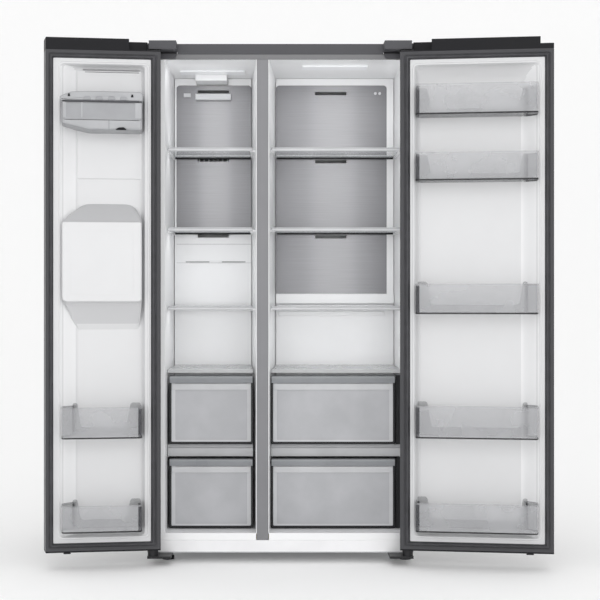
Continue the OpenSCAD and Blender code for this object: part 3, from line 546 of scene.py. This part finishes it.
def door_liner(door):
    """White inner face with a recess whose free side slopes, so that light falls on it; that slope is also
    painted a lighter white, as painted light.
    """
    p = door.piece("inner_liner", "door_white", "door_recess_painted_light")
    s = door.free
    z0, z1 = door.white[0][2], door.white[1][2]
    mouth_h = door.white_hinge + s * RIM_HINGE[door.side]
    mouth_f = door.white_free - s * RIM_FREE[door.side]
    slope = SLOPE[door.side]

    def outline(grow_hinge, grow_free, grow_z, r, cove=0.0):
        a, b = mouth_h - s * grow_hinge, mouth_f + s * grow_free
        return rectangle(min(a, b), max(a, b), z0 + RIM_END - grow_z, z1 - RIM_END + grow_z - cove, r)

    def flange(by):
        a, b = door.white_hinge + s * by, door.white_free - s * by
        return rectangle(min(a, b), max(a, b), z0 + by, z1 - by, 6)

    depth = door.face - door.floor
    rings = [upright(flange(0), door.face - 2), upright(flange(0), door.face - 0.8),
             upright(flange(0.8), door.face)]
    bead = [(8, 0.0), (6.5, 1.4), (5, 2.0), (3, 2.0), (1, 1.2), (0, -1.5)]
    for grow, rise in bead:
        rings.append(upright(outline(grow, grow, grow, 14 + grow), door.face + rise))
    dip = DIP[door.side]
    rings.append(upright(outline(-dip, -DIP_FREE, -DIP_END, 14), door.face - 3.9))
    for k in range(1, 8):
        t = k / 8
        late = max(0.0, t - 0.6) ** 2 * 6
        ring = outline(-8 * t - dip - 6 * late, -slope * t - DIP_FREE - 6 * late,
                       -DIP_END - 3 * t - 6 * late, 14 + 6 * t, COVE[door.side] * t ** 2)
        rings.append(upright(ring, door.face - 1.5 - (depth - 2.0) * t))
    rings.append(upright(outline(-16 - dip, -slope - 12, -12, 22, COVE[door.side] * 1.15), door.floor))
    p.loft(rings, cap_end=True)
    p.bm.normal_update()
    # faces of the sloped free side take the lighter white: painted light on the slope
    for f in p.bm.faces:
        if abs(f.normal.x) > 0.42 and f.calc_center_median().x * s > (mouth_f * s - slope - 20) * MM:
            f.material_index = 1
    return p.done(door.name, door.turn, [f"{door.side}_door_liner"], smooth=40)


def door_frame(door):
    """Dark frame and the bellows seal round the white face."""
    p = door.piece("seal_frame", "frame", "gasket")
    x0, z0 = door.skin[0][0], door.skin[0][2]
    x1, z1 = door.skin[1][0], door.skin[1][2]
    if door.side == "left":
        x1 -= SLANT
    w = [min(door.white_hinge, door.white_free), max(door.white_hinge, door.white_free)]
    wz = [door.white[0][2], door.white[1][2]]

    def between(t, y):
        """A ring at a share t of the way from the door's edge to the white face."""
        outline = rectangle(x0 + (w[0] - x0) * t, x1 + (w[1] - x1) * t,
                            z0 + (wz[0] - z0) * t, z1 + (wz[1] - z1) * t, 3, 2)
        return upright(outline, y)

    y = door.face
    plate = [(0.0, y - 0.5), (0.0, y + 0.4), (0.03, y + 0.8), (0.10, y + 0.8), (0.12, y + 0.2),
             (0.17, y + 0.2), (0.19, y + 0.8), (0.40, y + 0.8), (0.42, y + 0.3)]
    seal = [(0.42, y + 0.3), (0.44, y + 4.5), (0.50, y + 5.2), (0.53, y + 3.6), (0.60, y + 3.6),
            (0.64, y + 8.6), (0.72, y + 10.4), (0.82, y + 10.4), (0.88, y + 8.4), (0.90, y + 3.0),
            (0.96, y + 1.2), (1.0, y + 0.6), (1.04, y + 0.3)]
    p.loft([between(*q) for q in plate], 0)
    p.loft([between(*q) for q in seal], 1)
    return p.done(door.name, door.turn, [f"{door.side}_gasket"], smooth=50)


BIN_WALL = 3.0
BIN_CORNER = 14.0


def wall_path(door, x_hinge, x_free, front, by=0.0, back=None):
    """Route of a bin's side and front walls from above, moved inwards by a distance."""
    s = door.free
    back = door.floor + 1.0 if back is None else back
    slope = SLOPE[door.side]
    points = [(x_hinge + s * by, back), (x_hinge + s * by, front - by), (x_free - s * by, front - by),
              (x_free - s * by, door.face), (x_free - s * (slope + by), back)]
    path = rounded(points, [0, BIN_CORNER - by, BIN_CORNER - by, 8, 0], 6)
    return path


def clear_bin(door, name, box, ears=9.0, window=30.0):
    """A see-through bin: a bent wall with a lip, a floor, and a back wall with a wide low window."""
    p = door.piece(name, "clear", "bin_edge", "clear_painted_highlight", "bin_corner_painted_shade")
    s = door.free
    z0, z1 = box[0][2], box[1][2] - (8.0 if box[1][2] > 1300 else 0.0)
    x_hinge, x_free = (box[0][0] - 4, box[1][0]) if s > 0 else (box[1][0], box[0][0])
    front = box[1][1]

    def wall(by, z):
        return lift(wall_path(door, x_hinge, x_free, front, by), z)

    levels = [wall(2.5, z0), wall(0.6, z0 + 1.2), wall(0.4, z0 + 4.2), wall(1.0, z0 + 5), wall(1.0, z1 - 5.5),
              wall(0.2, z1 - 4.5), wall(0, z1 - 1), wall(0.8, z1), wall(BIN_WALL, z1 - 0.5),
              wall(BIN_WALL, z1 - 6), wall(BIN_WALL, z0 + BIN_WALL)]
    made = [p.ring(level) for level in levels]
    # the strips along the top take the lighter clear, a painted highlight along the lip
    looks = [1, 1, 1, 0, 2, 2, 2, 2, 0, 0]
    for a, b, look in zip(made, made[1:], looks):
        p.strip(a, b, look, closed=False)
    p.bm.faces.ensure_lookup_table()
    # painted shade on the corner by the hinge, a darker clear, and a painted highlight on the one at the free
    # end, a lighter clear
    for a, b in ((made[3], made[4]), (made[-2], made[-1])):
        for corner, look in ((range(1, 7), 3), (range(8, 14), 2)):
            for i in corner:
                for f in set(a[i].link_faces) & set(b[i].link_faces):
                    f.material_index = look
    p.prism(wall_path(door, x_hinge, x_free, front, 2.6), z0 + 0.4, z0 + BIN_WALL, 0, 0.4)
    # back wall, drawn in X and Z, with a low window between two ears
    hinge_end, free_end = x_hinge + s * 2, x_free - s * (SLOPE[door.side] - 14)
    top, low = z1 + ears, z0 + window
    near, far = hinge_end + s * 34, free_end - s * 16
    outline = [(hinge_end, z0 + 1), (free_end, z0 + 1), (free_end, top), (far, top), (far - s * 12, low),
               (near + s * 14, low), (near, top), (hinge_end, top)]
    outline = rounded(outline, [2, 2, 8, 8, 14, 14, 12, 8], 5)
    y = door.floor + 11
    p.loft([upright(inset(outline, 0.6), y), upright(outline, y + 0.6), upright(outline, y + 2.0),
            upright(inset(outline, 0.6), y + 2.6)], 0, True, True)
    # ribs that hang the bin, one by each end
    for x in (hinge_end + s * 5, free_end - s * 3):
        rib = rounded([(x - 4, y + 3), (x + 4, y + 3), (x + 3, y + 9), (x - 3, y + 9)], 1.5, 3)
        p.prism(rib, z0 + 5, z1 - 7, 3, 1)
    return p.done(door.name, door.turn, smooth=40)


def dress_bins(door, node):
    """One fine bin for each solid of the CAD node, which they replace together."""
    boxes = [([c / MM for c in lo], [c / MM for c in hi]) for lo, hi in solids(node, door.turn)]
    made = []
    for i, box in enumerate(boxes, 1):
        made.append(clear_bin(door, f"door_bin_{i}", box, ears=0.0 if box[1][2] > 1300 else 8.0))
    for piece in made:
        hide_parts(node)


def ice_bucket(door):
    """Frosted bucket under a lighter lid, with a rounded lower corner and a chute lever."""
    p = door.piece("ice_bucket", "bucket", "bucket_lid", "bucket_seam", "black")
    lo, hi = door.edges("ice_bin")
    z0, z1 = lo[2], hi[2]
    front = hi[1] - 6.0
    back = door.floor + 1.0
    a, b = lo[0] - 4, hi[0] - 1
    lid_z = z1 - 34
    silhouette = rounded([(a, z0), (b - 92, z0), (b, z0 + 20), (b, lid_z), (a, lid_z)],
                         [8, 60, 10, 2, 2], 8)
    deep = [(silhouette, back), (silhouette, front - 12), (inset(silhouette, 1.5), front - 7),
            (inset(silhouette, 5), front - 2.5), (inset(silhouette, 10), front)]
    p.loft([upright(o, y) for o, y in deep], 0, True, True)
    # dark seam and lid
    seam = rectangle(a + 12, b - 12, lid_z - 1.5, lid_z + 3, 1, 2)
    p.loft([upright(seam, back), upright(seam, front - 1)], 2, True, True)
    crown = rounded([(a - 3, lid_z + 2), (b + 4, lid_z + 2), (b + 6, lid_z + 16), (b - 30, z1 - 3),
                     (b - 90, z1), (a + 10, z1), (a - 3, z1 - 6)], [3, 3, 6, 30, 40, 8, 4], 6)
    p.loft([upright(crown, back), upright(crown, front - 8), upright(inset(crown, 2), front - 2),
            upright(inset(crown, 5), front)], 1, True, True)
    # finger scallops along the lid, and a dark catch at each end of it
    for k in range(4):
        x = a + 62 + k * 40
        low, high = lid_z + 4, lid_z + 17
        lobe = rounded([(x - 15, low), (x + 15, low), (x + 10, high), (x - 10, high)], 6, 5)
        p.loft([upright(lobe, front - 1), upright(inset(lobe, 1.5), front + 1.6)], 0, True, True)
    for x in (a + 34, b - 24):
        low, high = lid_z + 14, lid_z + 24
        catch = rounded([(x - 5, low), (x + 5, low), (x + 3, high), (x - 3, high)], 2, 3)
        p.loft([upright(catch, front - 1), upright(inset(catch, 1), front + 2)], 3, True, True)
    # paler band along the foot, an inner wall behind the body, and the slit beside the chute
    foot = rounded([(a + 3, z0 + 3), (b - 90, z0 + 3), (b - 4, z0 + 22), (b - 4, z0 + 36), (a + 3, z0 + 36)],
                   [6, 56, 8, 2, 2], 8)
    p.loft([upright(foot, front - 3), upright(inset(foot, 4), front + 0.5)], 1, False, True)
    for lo_x, hi_x in ((a + 3, a + 26), (b - 70, b - 62), (b - 16, b - 4)):
        shade_strip = rectangle(lo_x, hi_x, z0 + 38, lid_z - 3, 3, 3)
        p.loft([upright(shade_strip, front - 3), upright(inset(shade_strip, 2), front + 0.3)], 1, False, True)
    slit = rectangle(a + 108, a + 113, z0 + 2, z0 + 34, 2, 3)
    p.loft([upright(slit, front - 1), upright(slit, front + 1.6)], 0, True, True)
    lever = rounded([(a + 50, z0 + 1), (a + 92, z0 + 1), (a + 78, z0 + 9), (a + 62, z0 + 10)], 3, 4)
    p.loft([upright(lever, front - 4), upright(lever, front + 3), upright(inset(lever, 1), front + 4)],
           3, True, True)
    return p.done(door.name, door.turn, ["ice_bin"], smooth=40)


def dispenser_cover(door):
    """Moulded cover over the dispenser, seen from inside: sloped top, flat face, undercut bottom, with
    painted shade on the sloped top and the undercut bottom.
    """
    p = door.piece("dispenser_cover", "door_white", "door_underside_painted_shade", "door_slope_painted_shade")
    lo, hi = door.edges("dispenser_housing")
    x_hinge, x_free = lo[0] - 6, hi[0] + 1
    face = hi[1] + 0.5
    top, slope_z, bottom = 1224.0, 1163.0, 893.0
    floor = door.floor + 0.3
    deep = face - 6 - floor
    rings = []
    for k in range(13):
        t = k / 12
        flat = 1 - t
        x1 = x_free - 40 * flat ** 1.1
        x0 = x_hinge + 6 * flat ** 2
        z1 = top - (top - slope_z) * t
        z0 = bottom - 92 * flat ** 1.3
        radii = [14, 20, 10 + 50 * flat ** 1.3, 10 + 44 * flat ** 1.3]
        ring = rounded([(x0, z0), (x1, z0), (x1, z1), (x0, z1)], radii, 9)
        rings.append(upright(ring, floor + deep * t))
    last = rounded([(x_hinge, bottom), (x_free, bottom), (x_free, slope_z), (x_hinge, slope_z)],
                   [14, 20, 10, 10], 9)
    edge = ((1.2, 3.6), (3.4, 5.2), (7, 6.0))
    rings += [upright(inset(last, by), floor + deep + rise) for by, rise in edge]
    p.loft(rings, cap_end=True)
    p.bm.normal_update()
    # faces that look down and faces that look up take darker whites: painted shade on the undercut bottom and
    # the sloped top
    for f in p.bm.faces:
        if f.normal.z < -0.45:
            f.material_index = 1
        elif f.normal.z > 0.45:
            f.material_index = 2
    panel = rectangle(x_hinge + 28, x_free - 30, bottom + 26, slope_z - 34, 9)
    y = face - 0.2
    p.loft([upright(panel, y), upright(panel, y + 0.5), upright(inset(panel, 1), y + 0.8)], 0, False, True)
    return p.done(door.name, door.turn, smooth=50)


def ice_duct(door):
    """Raised cover plate above the dispenser with a louvred inlet."""
    p = door.piece("ice_duct_cover", "door_white", "divider")
    s = door.free
    x_hinge = door.white_hinge + s * (RIM_HINGE[door.side] + 14)
    x_free = door.white_free - s * (RIM_FREE[door.side] + SLOPE[door.side] + 6)
    z1 = door.white[1][2] - RIM_END - 16
    plate = rectangle(min(x_hinge, x_free), max(x_hinge, x_free), 1309, z1, 5, 4)
    y = door.floor + 0.2
    p.loft([upright(plate, y), upright(plate, y + 3), upright(inset(plate, 1.2), y + 4.2)], 0, False, True)
    middle = (x_hinge + x_free) / 2 - 6
    for k in range(4):
        half = 91 + 7 * k
        z = 1667 + 7.4 * k
        slat = rectangle(middle - half, middle + half, z, z + 2.6, 1, 2)
        p.loft([upright(slat, y + 4), upright(inset(slat, 0.4), y + 5.5)], 1, False, True)
    return p.done(door.name, door.turn, smooth=40)


def dispenser_front(door):
    """Gloss black bezel round the outside niche, with a touch strip above it."""
    p = door.piece("dispenser_bezel", "gloss_black", "touch_strip", "stainless")
    paddle_lo, paddle_hi = door.edges("dispenser_paddle")
    x0, x1 = paddle_lo[0], paddle_hi[0]
    out = door.skin[0][1]
    z0, z1 = 905.0, 1180.0
    frame_out = rectangle(x0 - 16, x1 + 16, z0 - 16, z1 + 100, 12)
    frame_in = rectangle(x0 + 1, x1 - 1, z0 + 1, z1 - 1, 6)
    steps = [(frame_out, 0, 0.6), (frame_out, 0, -1.2), (frame_out, 1.4, -2.4), (frame_in, -1.4, -2.4),
             (frame_in, 0, -1.2), (frame_in, 0, 56), (frame_in, 5, 66), (frame_in, 12, 68.5)]
    p.loft([upright(inset(o, by) if by else o, out + y) for o, by, y in steps], 0, False, True)
    # chute over the niche
    middle = (x0 + x1) / 2
    ring = [(middle + 26 * math.cos(a), out + 41 + 26 * math.sin(a))
            for a in (2 * math.pi * k / 32 for k in range(32))]
    steps = [(0, 1), (0, -16), (2, -18), (6, -18), (8, -16), (8, 1)]
    p.loft([lift(inset(ring, by) if by else ring, z1 + z) for by, z in steps])
    strip = rectangle(x0 + 14, x1 - 14, z1 + 26, z1 + 66, 8)
    p.loft([upright(strip, out - 2.3), upright(inset(strip, 0.6), out - 2.9)], 1, False, True)
    for k in range(8):
        y = out + 10 + k * 6
        bar = rounded([(y, z0 - 1), (y + 3, z0 - 1), (y + 3, z0 + 2.4), (y, z0 + 2.4)], 1, 2)
        p.loft([[(x0 + 12, a, b) for a, b in bar], [(x1 - 12, a, b) for a, b in bar]], 2, True, True)
    return p.done(door.name, door.turn, smooth=40)



for door in (left, right):
    door_liner(door)
    door_frame(door)
dress_bins(left, "left_door_bins")
dress_bins(right, "right_door_bins")
ice_bucket(left)
ice_duct(left)
for piece in (dispenser_cover(left), dispenser_front(left)):
    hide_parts("dispenser_housing")

# ------------------------------------------------------------------ drawers

GRIP_BAND = 26.0
LIGHT_BAND = 24.0
EDGE_SIDE = 8.0
EDGE_LOW = 8.0
TRAY_TOP = 394.5


def fine_drawer(node):
    """A frosted drawer: box, front with a dark edge on three sides, grip band and light band; the dark edge
    is a dark clear frame, widened as painted shade of the gaps round the drawer.
    """
    p = Piece(f"{node}_fine", "frosted", "drawer_edge_and_gap_shade", "drawer_grip", "frosted_light")
    (x0, y0, z0), (x1, back, z1) = ([c / MM for c in corner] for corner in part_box(node))
    front = y0 + 12
    freezer = node.startswith("freezer")
    inner_x0 = x0 + (2 if freezer else 20)
    inner_x1 = x1 - (20 if freezer else 2)
    walls = rounded([(inner_x0, front + 4), (inner_x1, front + 4), (inner_x1, back), (inner_x0, back)], 14, 5)
    inner = inset(walls, 3)
    top = z1 - 26
    steps = [(walls, 6, z0), (walls, 1.5, z0 + 2), (walls, 0, z0 + 7), (walls, 0, top - 1), (walls, 1, top),
             (inner, 0, top - 0.6), (inner, 0, z0 + 6), (inner, 5, z0 + 3)]
    p.loft([lift(inset(o, by) if by else o, z) for o, by, z in steps], 0, True, True)
    # front: a plate with a dark edge on three sides, partly painted shade of the gaps round the drawer, and a
    # paler frame inside it
    rim = [(0.8, 4.0), (0, 3), (0, 1), (1, 0), (3, -0.3)]
    outer = [upright(rectangle(x0 + by, x1 - by, z0 + by, z1 - by, 7, 5), front + y) for by, y in rim]
    a, b, foot = x0 + EDGE_SIDE, x1 - EDGE_SIDE, z0 + EDGE_LOW
    opening = [upright(rectangle(a + by, b - by, foot + by, z1 - 4 - by, 4, 5), front + y)
               for by, y in ((0, -0.3), (0.8, 0.8))]
    p.loft(outer + opening, 1)
    pale = [upright(rectangle(a + by, b - by, foot + by * 0.5, z1 - 4 - by, 3, 5), front + y)
            for by, y in ((0.8, 0.8), (13, 0.8), (14, 1.6))]
    p.loft(pale, 3)
    clear = upright(rectangle(a + 16, b - 16, foot + 8, z1 - 20, 3, 5), front + 1.8)
    p.loft([pale[-1], clear], 0, False, True)
    # light band below the grip
    grip = z1 - GRIP_BAND
    band = rectangle(a + 2, b - 2, grip - LIGHT_BAND, grip - 3, 3, 3)
    p.loft([upright(band, front + 1.2), upright(band, front - 1.5), upright(inset(band, 1.5), front - 2.6)],
           3, False, True)
    # grip band that leans out over the front
    section = rounded([(front + 3, z1 - 1), (front - 11, z1 - 3), (front - 12, z1 - 9), (front - 5, grip),
                       (front - 1, grip), (front - 1, z1 - 12), (front + 3, z1 - 12)],
                      [2, 2, 2, 2, 1, 1, 1], 3)
    p.loft([[(x, a, b) for a, b in section] for x in (x0 + 3, x0 + 4, x1 - 4, x1 - 3)], 2, True, True)
    p.done(node, STILL, [node], smooth=40)


def shelf_fronts():
    """Clear front rails with a fine rib, and the pale rails at the back of the glass, each with a black strip
    of painted shade under it.
    """
    p = Piece("shelf_rails", "trim_clear", "trim", "black")
    for (lo, hi) in solids("shelf_trims"):
        x0, y0, z0, x1, y1, z1 = *(c / MM for c in lo), *(c / MM for c in hi)
        if y0 < 200:
            rail = rounded([(y0, z0 + 1), (y0 + 4, z0), (y1, z0 + 4), (y1, z1), (y0 + 1, z1)],
                           [3, 2, 2, 1, 4], 4)
            rib = rectangle(y0 - 0.3, y0 + 1, z0 + 4, z0 + 6, 0.5, 2)
            looks = ((rail, 0), (rib, 1))
        else:
            rail = rounded([(y0, z1 - 7), (y1, z1 - 7), (y1, z1), (y0, z1)], 1.5, 3)
            # the black strip under each back rail is painted shade of the gap below it
            seal = rounded([(y0 + 2, z0), (y1, z0), (y1, z1 - 7.2), (y0 + 2, z1 - 7.2)], 1, 3)
            looks = ((rail, 1), (seal, 2))
        for section, look in looks:
            ends = [(x0, 1.2), (x0 + 1.2, 0), (x1 - 1.2, 0), (x1, 1.2)]
            p.loft([[(x, a, b) for a, b in inset(section, by * 0.6)] for x, by in ends], look, True, True)
    p.done("cabinet", STILL, ["shelf_trims"], smooth=40)


def drawer_trays():
    """Trays between the drawers with a stepped clear rail in front, and the posts beside the drawers."""
    p = Piece("drawer_trays", "trim_clear", "tray", "drawer_edge_and_gap_shade", "trim")
    for lo, hi in solids("drawer_dividers"):
        x0, y0, z0, x1, y1, z1 = *(c / MM for c in lo), *(c / MM for c in hi)
        if x1 - x0 < 40:
            # the posts take the drawers' dark edge colour, as painted shade of the gaps beside the drawers
            post = rounded([(x0, y0), (x1, y0), (x1, y1), (x0, y1)], 3, 4)
            p.prism(post, z0, z1, 2, 1.2)
            continue
        top = TRAY_TOP
        rail = rounded([(y0, z0 + 2), (y0 + 3, z0), (y0 + 16, z0), (y0 + 16, top), (y0 + 9, top),
                        (y0 + 6, top - 10), (y0, top - 14)], [2, 2, 1, 1, 3, 3, 3], 4)
        line = rectangle(y0 - 0.4, y0 + 1, z0 + 1, z0 + 3.5, 0.6, 2)
        for section, look, by in ((rail, 0, 0.0), (line, 2, 5.0)):
            ends = [(x0 + by, 1.2), (x0 + by + 1.2, 0), (x1 - by - 1.2, 0), (x1 - by, 1.2)]
            p.loft([[(x, a, b) for a, b in inset(section, cut * 0.4)] for x, cut in ends], look, True, True)
        plate = rounded([(x0 + 1, y0 + 16), (x1 - 1, y0 + 16), (x1 - 1, y1), (x0 + 1, y1)], 3, 4)
        p.prism(plate, z0 + 6, z0 + 16, 1, 1)
        for x in (x0 + 22, x1 - 22):
            runner = rounded([(x - 5, y0 + 16), (x + 5, y0 + 16), (x + 5, y1 - 4), (x - 5, y1 - 4)], 2, 3)
            p.prism(runner, z0 + 15, top, 3, 1)
    p.done("cabinet", STILL, ["drawer_dividers"], smooth=40)


def wall_details():
    """Fine seams on the white back walls and the low ledge behind the fridge's third shelf."""
    p = Piece("wall_details", "liner", "panel_seam")
    lo, hi = solids("freezer_back_panel")[0]
    x0, x1, y = lo.x / MM, hi.x / MM, lo.y / MM
    seams = [(x0 + 34, x0 + 122, 1039, 1042), (x1 - 110, x1 - 22, 1039, 1042),
             (x0, x1, 1106, 1107.2), (x0, x1, 1036.6, 1037.4)]
    lo, hi = solids("fridge_back_panel")[0]
    rx0, rx1 = lo.x / MM, hi.x / MM
    seams.append((rx0, rx1, 910.0, 911.4))
    for a, b, low, high in seams:
        p.loft([upright(rectangle(a, b, low, high, 0.3, 1), y + 1.2),
                upright(rectangle(a, b, low, high, 0.3, 1), y - 0.3)], 1, True, True)
    ledge = [(rectangle(rx0 + 8 + cut, rx1 - 8 - cut, 838 + cut, 858 - cut, 8), deep)
             for cut, deep in ((0, 1.2), (0, -1.0), (1.2, -2.2), (3.4, -3.0))]
    p.loft([upright(o, y + deep) for o, deep in ledge], 0, True, True)
    p.done("cabinet", STILL, smooth=40)


shelf_fronts()
wall_details()

drawer_trays()
for node in ("freezer_drawer_upper", "freezer_drawer_lower", "fridge_drawer_upper", "fridge_drawer_lower"):
    fine_drawer(node)

# ------------------------------------------------------------------ floor, light and camera

EYE_Z = 0.917
EYE_Y = -4.8
FOCAL_SHARE = 1400 / 600
SENSOR = 36.0


def studio():
    """A pale floor that curves up far behind the cabinet, so that no horizon shows."""
    near, far, side, r, height = -30.0, 14.0, 40.0, 6.0, 30.0
    profile = [(near, 0.0)]
    for k in range(17):
        a = math.pi / 2 * k / 16
        profile.append((far - r + r * math.sin(a), r - r * math.cos(a)))
    profile.append((far, height))
    rows = [[(x, y, z) for x in (-side, side)] for y, z in profile]
    mesh = bpy.data.meshes.new("floor")
    mesh.from_pydata([v for row in rows for v in row], [],
                     [(2 * i, 2 * i + 1, 2 * i + 3, 2 * i + 2) for i in range(len(rows) - 1)])
    mesh.shade_smooth()
    pale = plastic("studio_floor", (0.96, 0.96, 0.96), 0.8, 300, 0.00002, 0.003)
    shader = next(n for n in pale.node_tree.nodes if n.type == "BSDF_PRINCIPLED")
    shader.inputs["Emission Color"].default_value = (1, 1, 1, 1)
    shader.inputs["Emission Strength"].default_value = 0.07
    mesh.materials.append(pale)
    o = bpy.data.objects.new("studio_floor", mesh)
    bpy.context.collection.objects.link(o)


def softbox(name, where, aim, size, power):
    data = bpy.data.lights.new(name, "AREA")
    data.shape = "RECTANGLE"
    data.size, data.size_y = size
    data.energy = power
    o = bpy.data.objects.new(name, data)
    o.location = where
    o.rotation_euler = (Vector(aim) - Vector(where)).to_track_quat("-Z", "Y").to_euler()
    bpy.context.collection.objects.link(o)


def inside_light(x0, x1, y, z, power):
    """A weak strip inside a compartment that lifts its shadows, as its own lamps would."""
    softbox("inside", ((x0 + x1) / 2, y, z), ((x0 + x1) / 2, y + 0.12, z - 0.3), (x1 - x0, 0.05), power)


def lights():
    softbox("key", (0.2, -4.6, 2.6), (0, 0.1, 1.0), (3.0, 1.6), 34)
    softbox("low_fill", (0.0, -5.6, 0.8), (0, 0.2, 0.9), (3.2, 1.2), 34)
    for liner, power in (("freezer_liner", 0.16), ("fridge_liner", 0.22)):
        lo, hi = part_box(liner)
        x0, x1 = lo[0] + 0.06, hi[0] - 0.06
        inside_light(x0, x1, 0.06, hi[2] - 0.02, power)
        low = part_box(f"{liner.split('_')[0]}_shelf_1")[1][2] + 0.02
        softbox("inside_up", ((x0 + x1) / 2, 0.16, low), ((x0 + x1) / 2, 0.28, hi[2]), (x1 - x0, 0.06), power)
        for n in (1, 2, 3):
            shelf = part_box(f"{liner.split('_')[0]}_shelf_{n}")
            inside_light(x0, x1, 0.13, shelf[0][2] - 0.012, power)
    world = bpy.data.worlds.new("studio")
    world.use_nodes = True
    sky = world.node_tree
    where = sky.nodes.new("ShaderNodeTexCoord")
    split = sky.nodes.new("ShaderNodeSeparateXYZ")
    height = sky.nodes.new("ShaderNodeMapRange")
    sky.links.new(where.outputs["Generated"], split.inputs[0])
    sky.links.new(split.outputs["Z"], height.inputs["Value"])
    height.inputs["From Min"].default_value = 0.25
    height.inputs["From Max"].default_value = 0.8
    height.inputs["To Min"].default_value = 1.0
    height.inputs["To Max"].default_value = 0.8
    sky.nodes["Background"].inputs["Color"].default_value = (1, 1, 1, 1)
    sky.links.new(height.outputs[0], sky.nodes["Background"].inputs["Strength"])
    bpy.context.scene.world = world


def camera():
    data = bpy.data.cameras.new("camera")
    data.sensor_width = SENSOR
    data.lens = SENSOR * FOCAL_SHARE
    data.shift_x = 0.0327
    data.shift_y = -0.0083
    o = bpy.data.objects.new("camera", data)
    o.location = (0, EYE_Y, EYE_Z)
    o.rotation_euler = (math.radians(90), 0, 0)
    bpy.context.collection.objects.link(o)
    bpy.context.scene.camera = o


studio()
lights()
camera()
bpy.context.scene.view_settings.view_transform = "Standard"
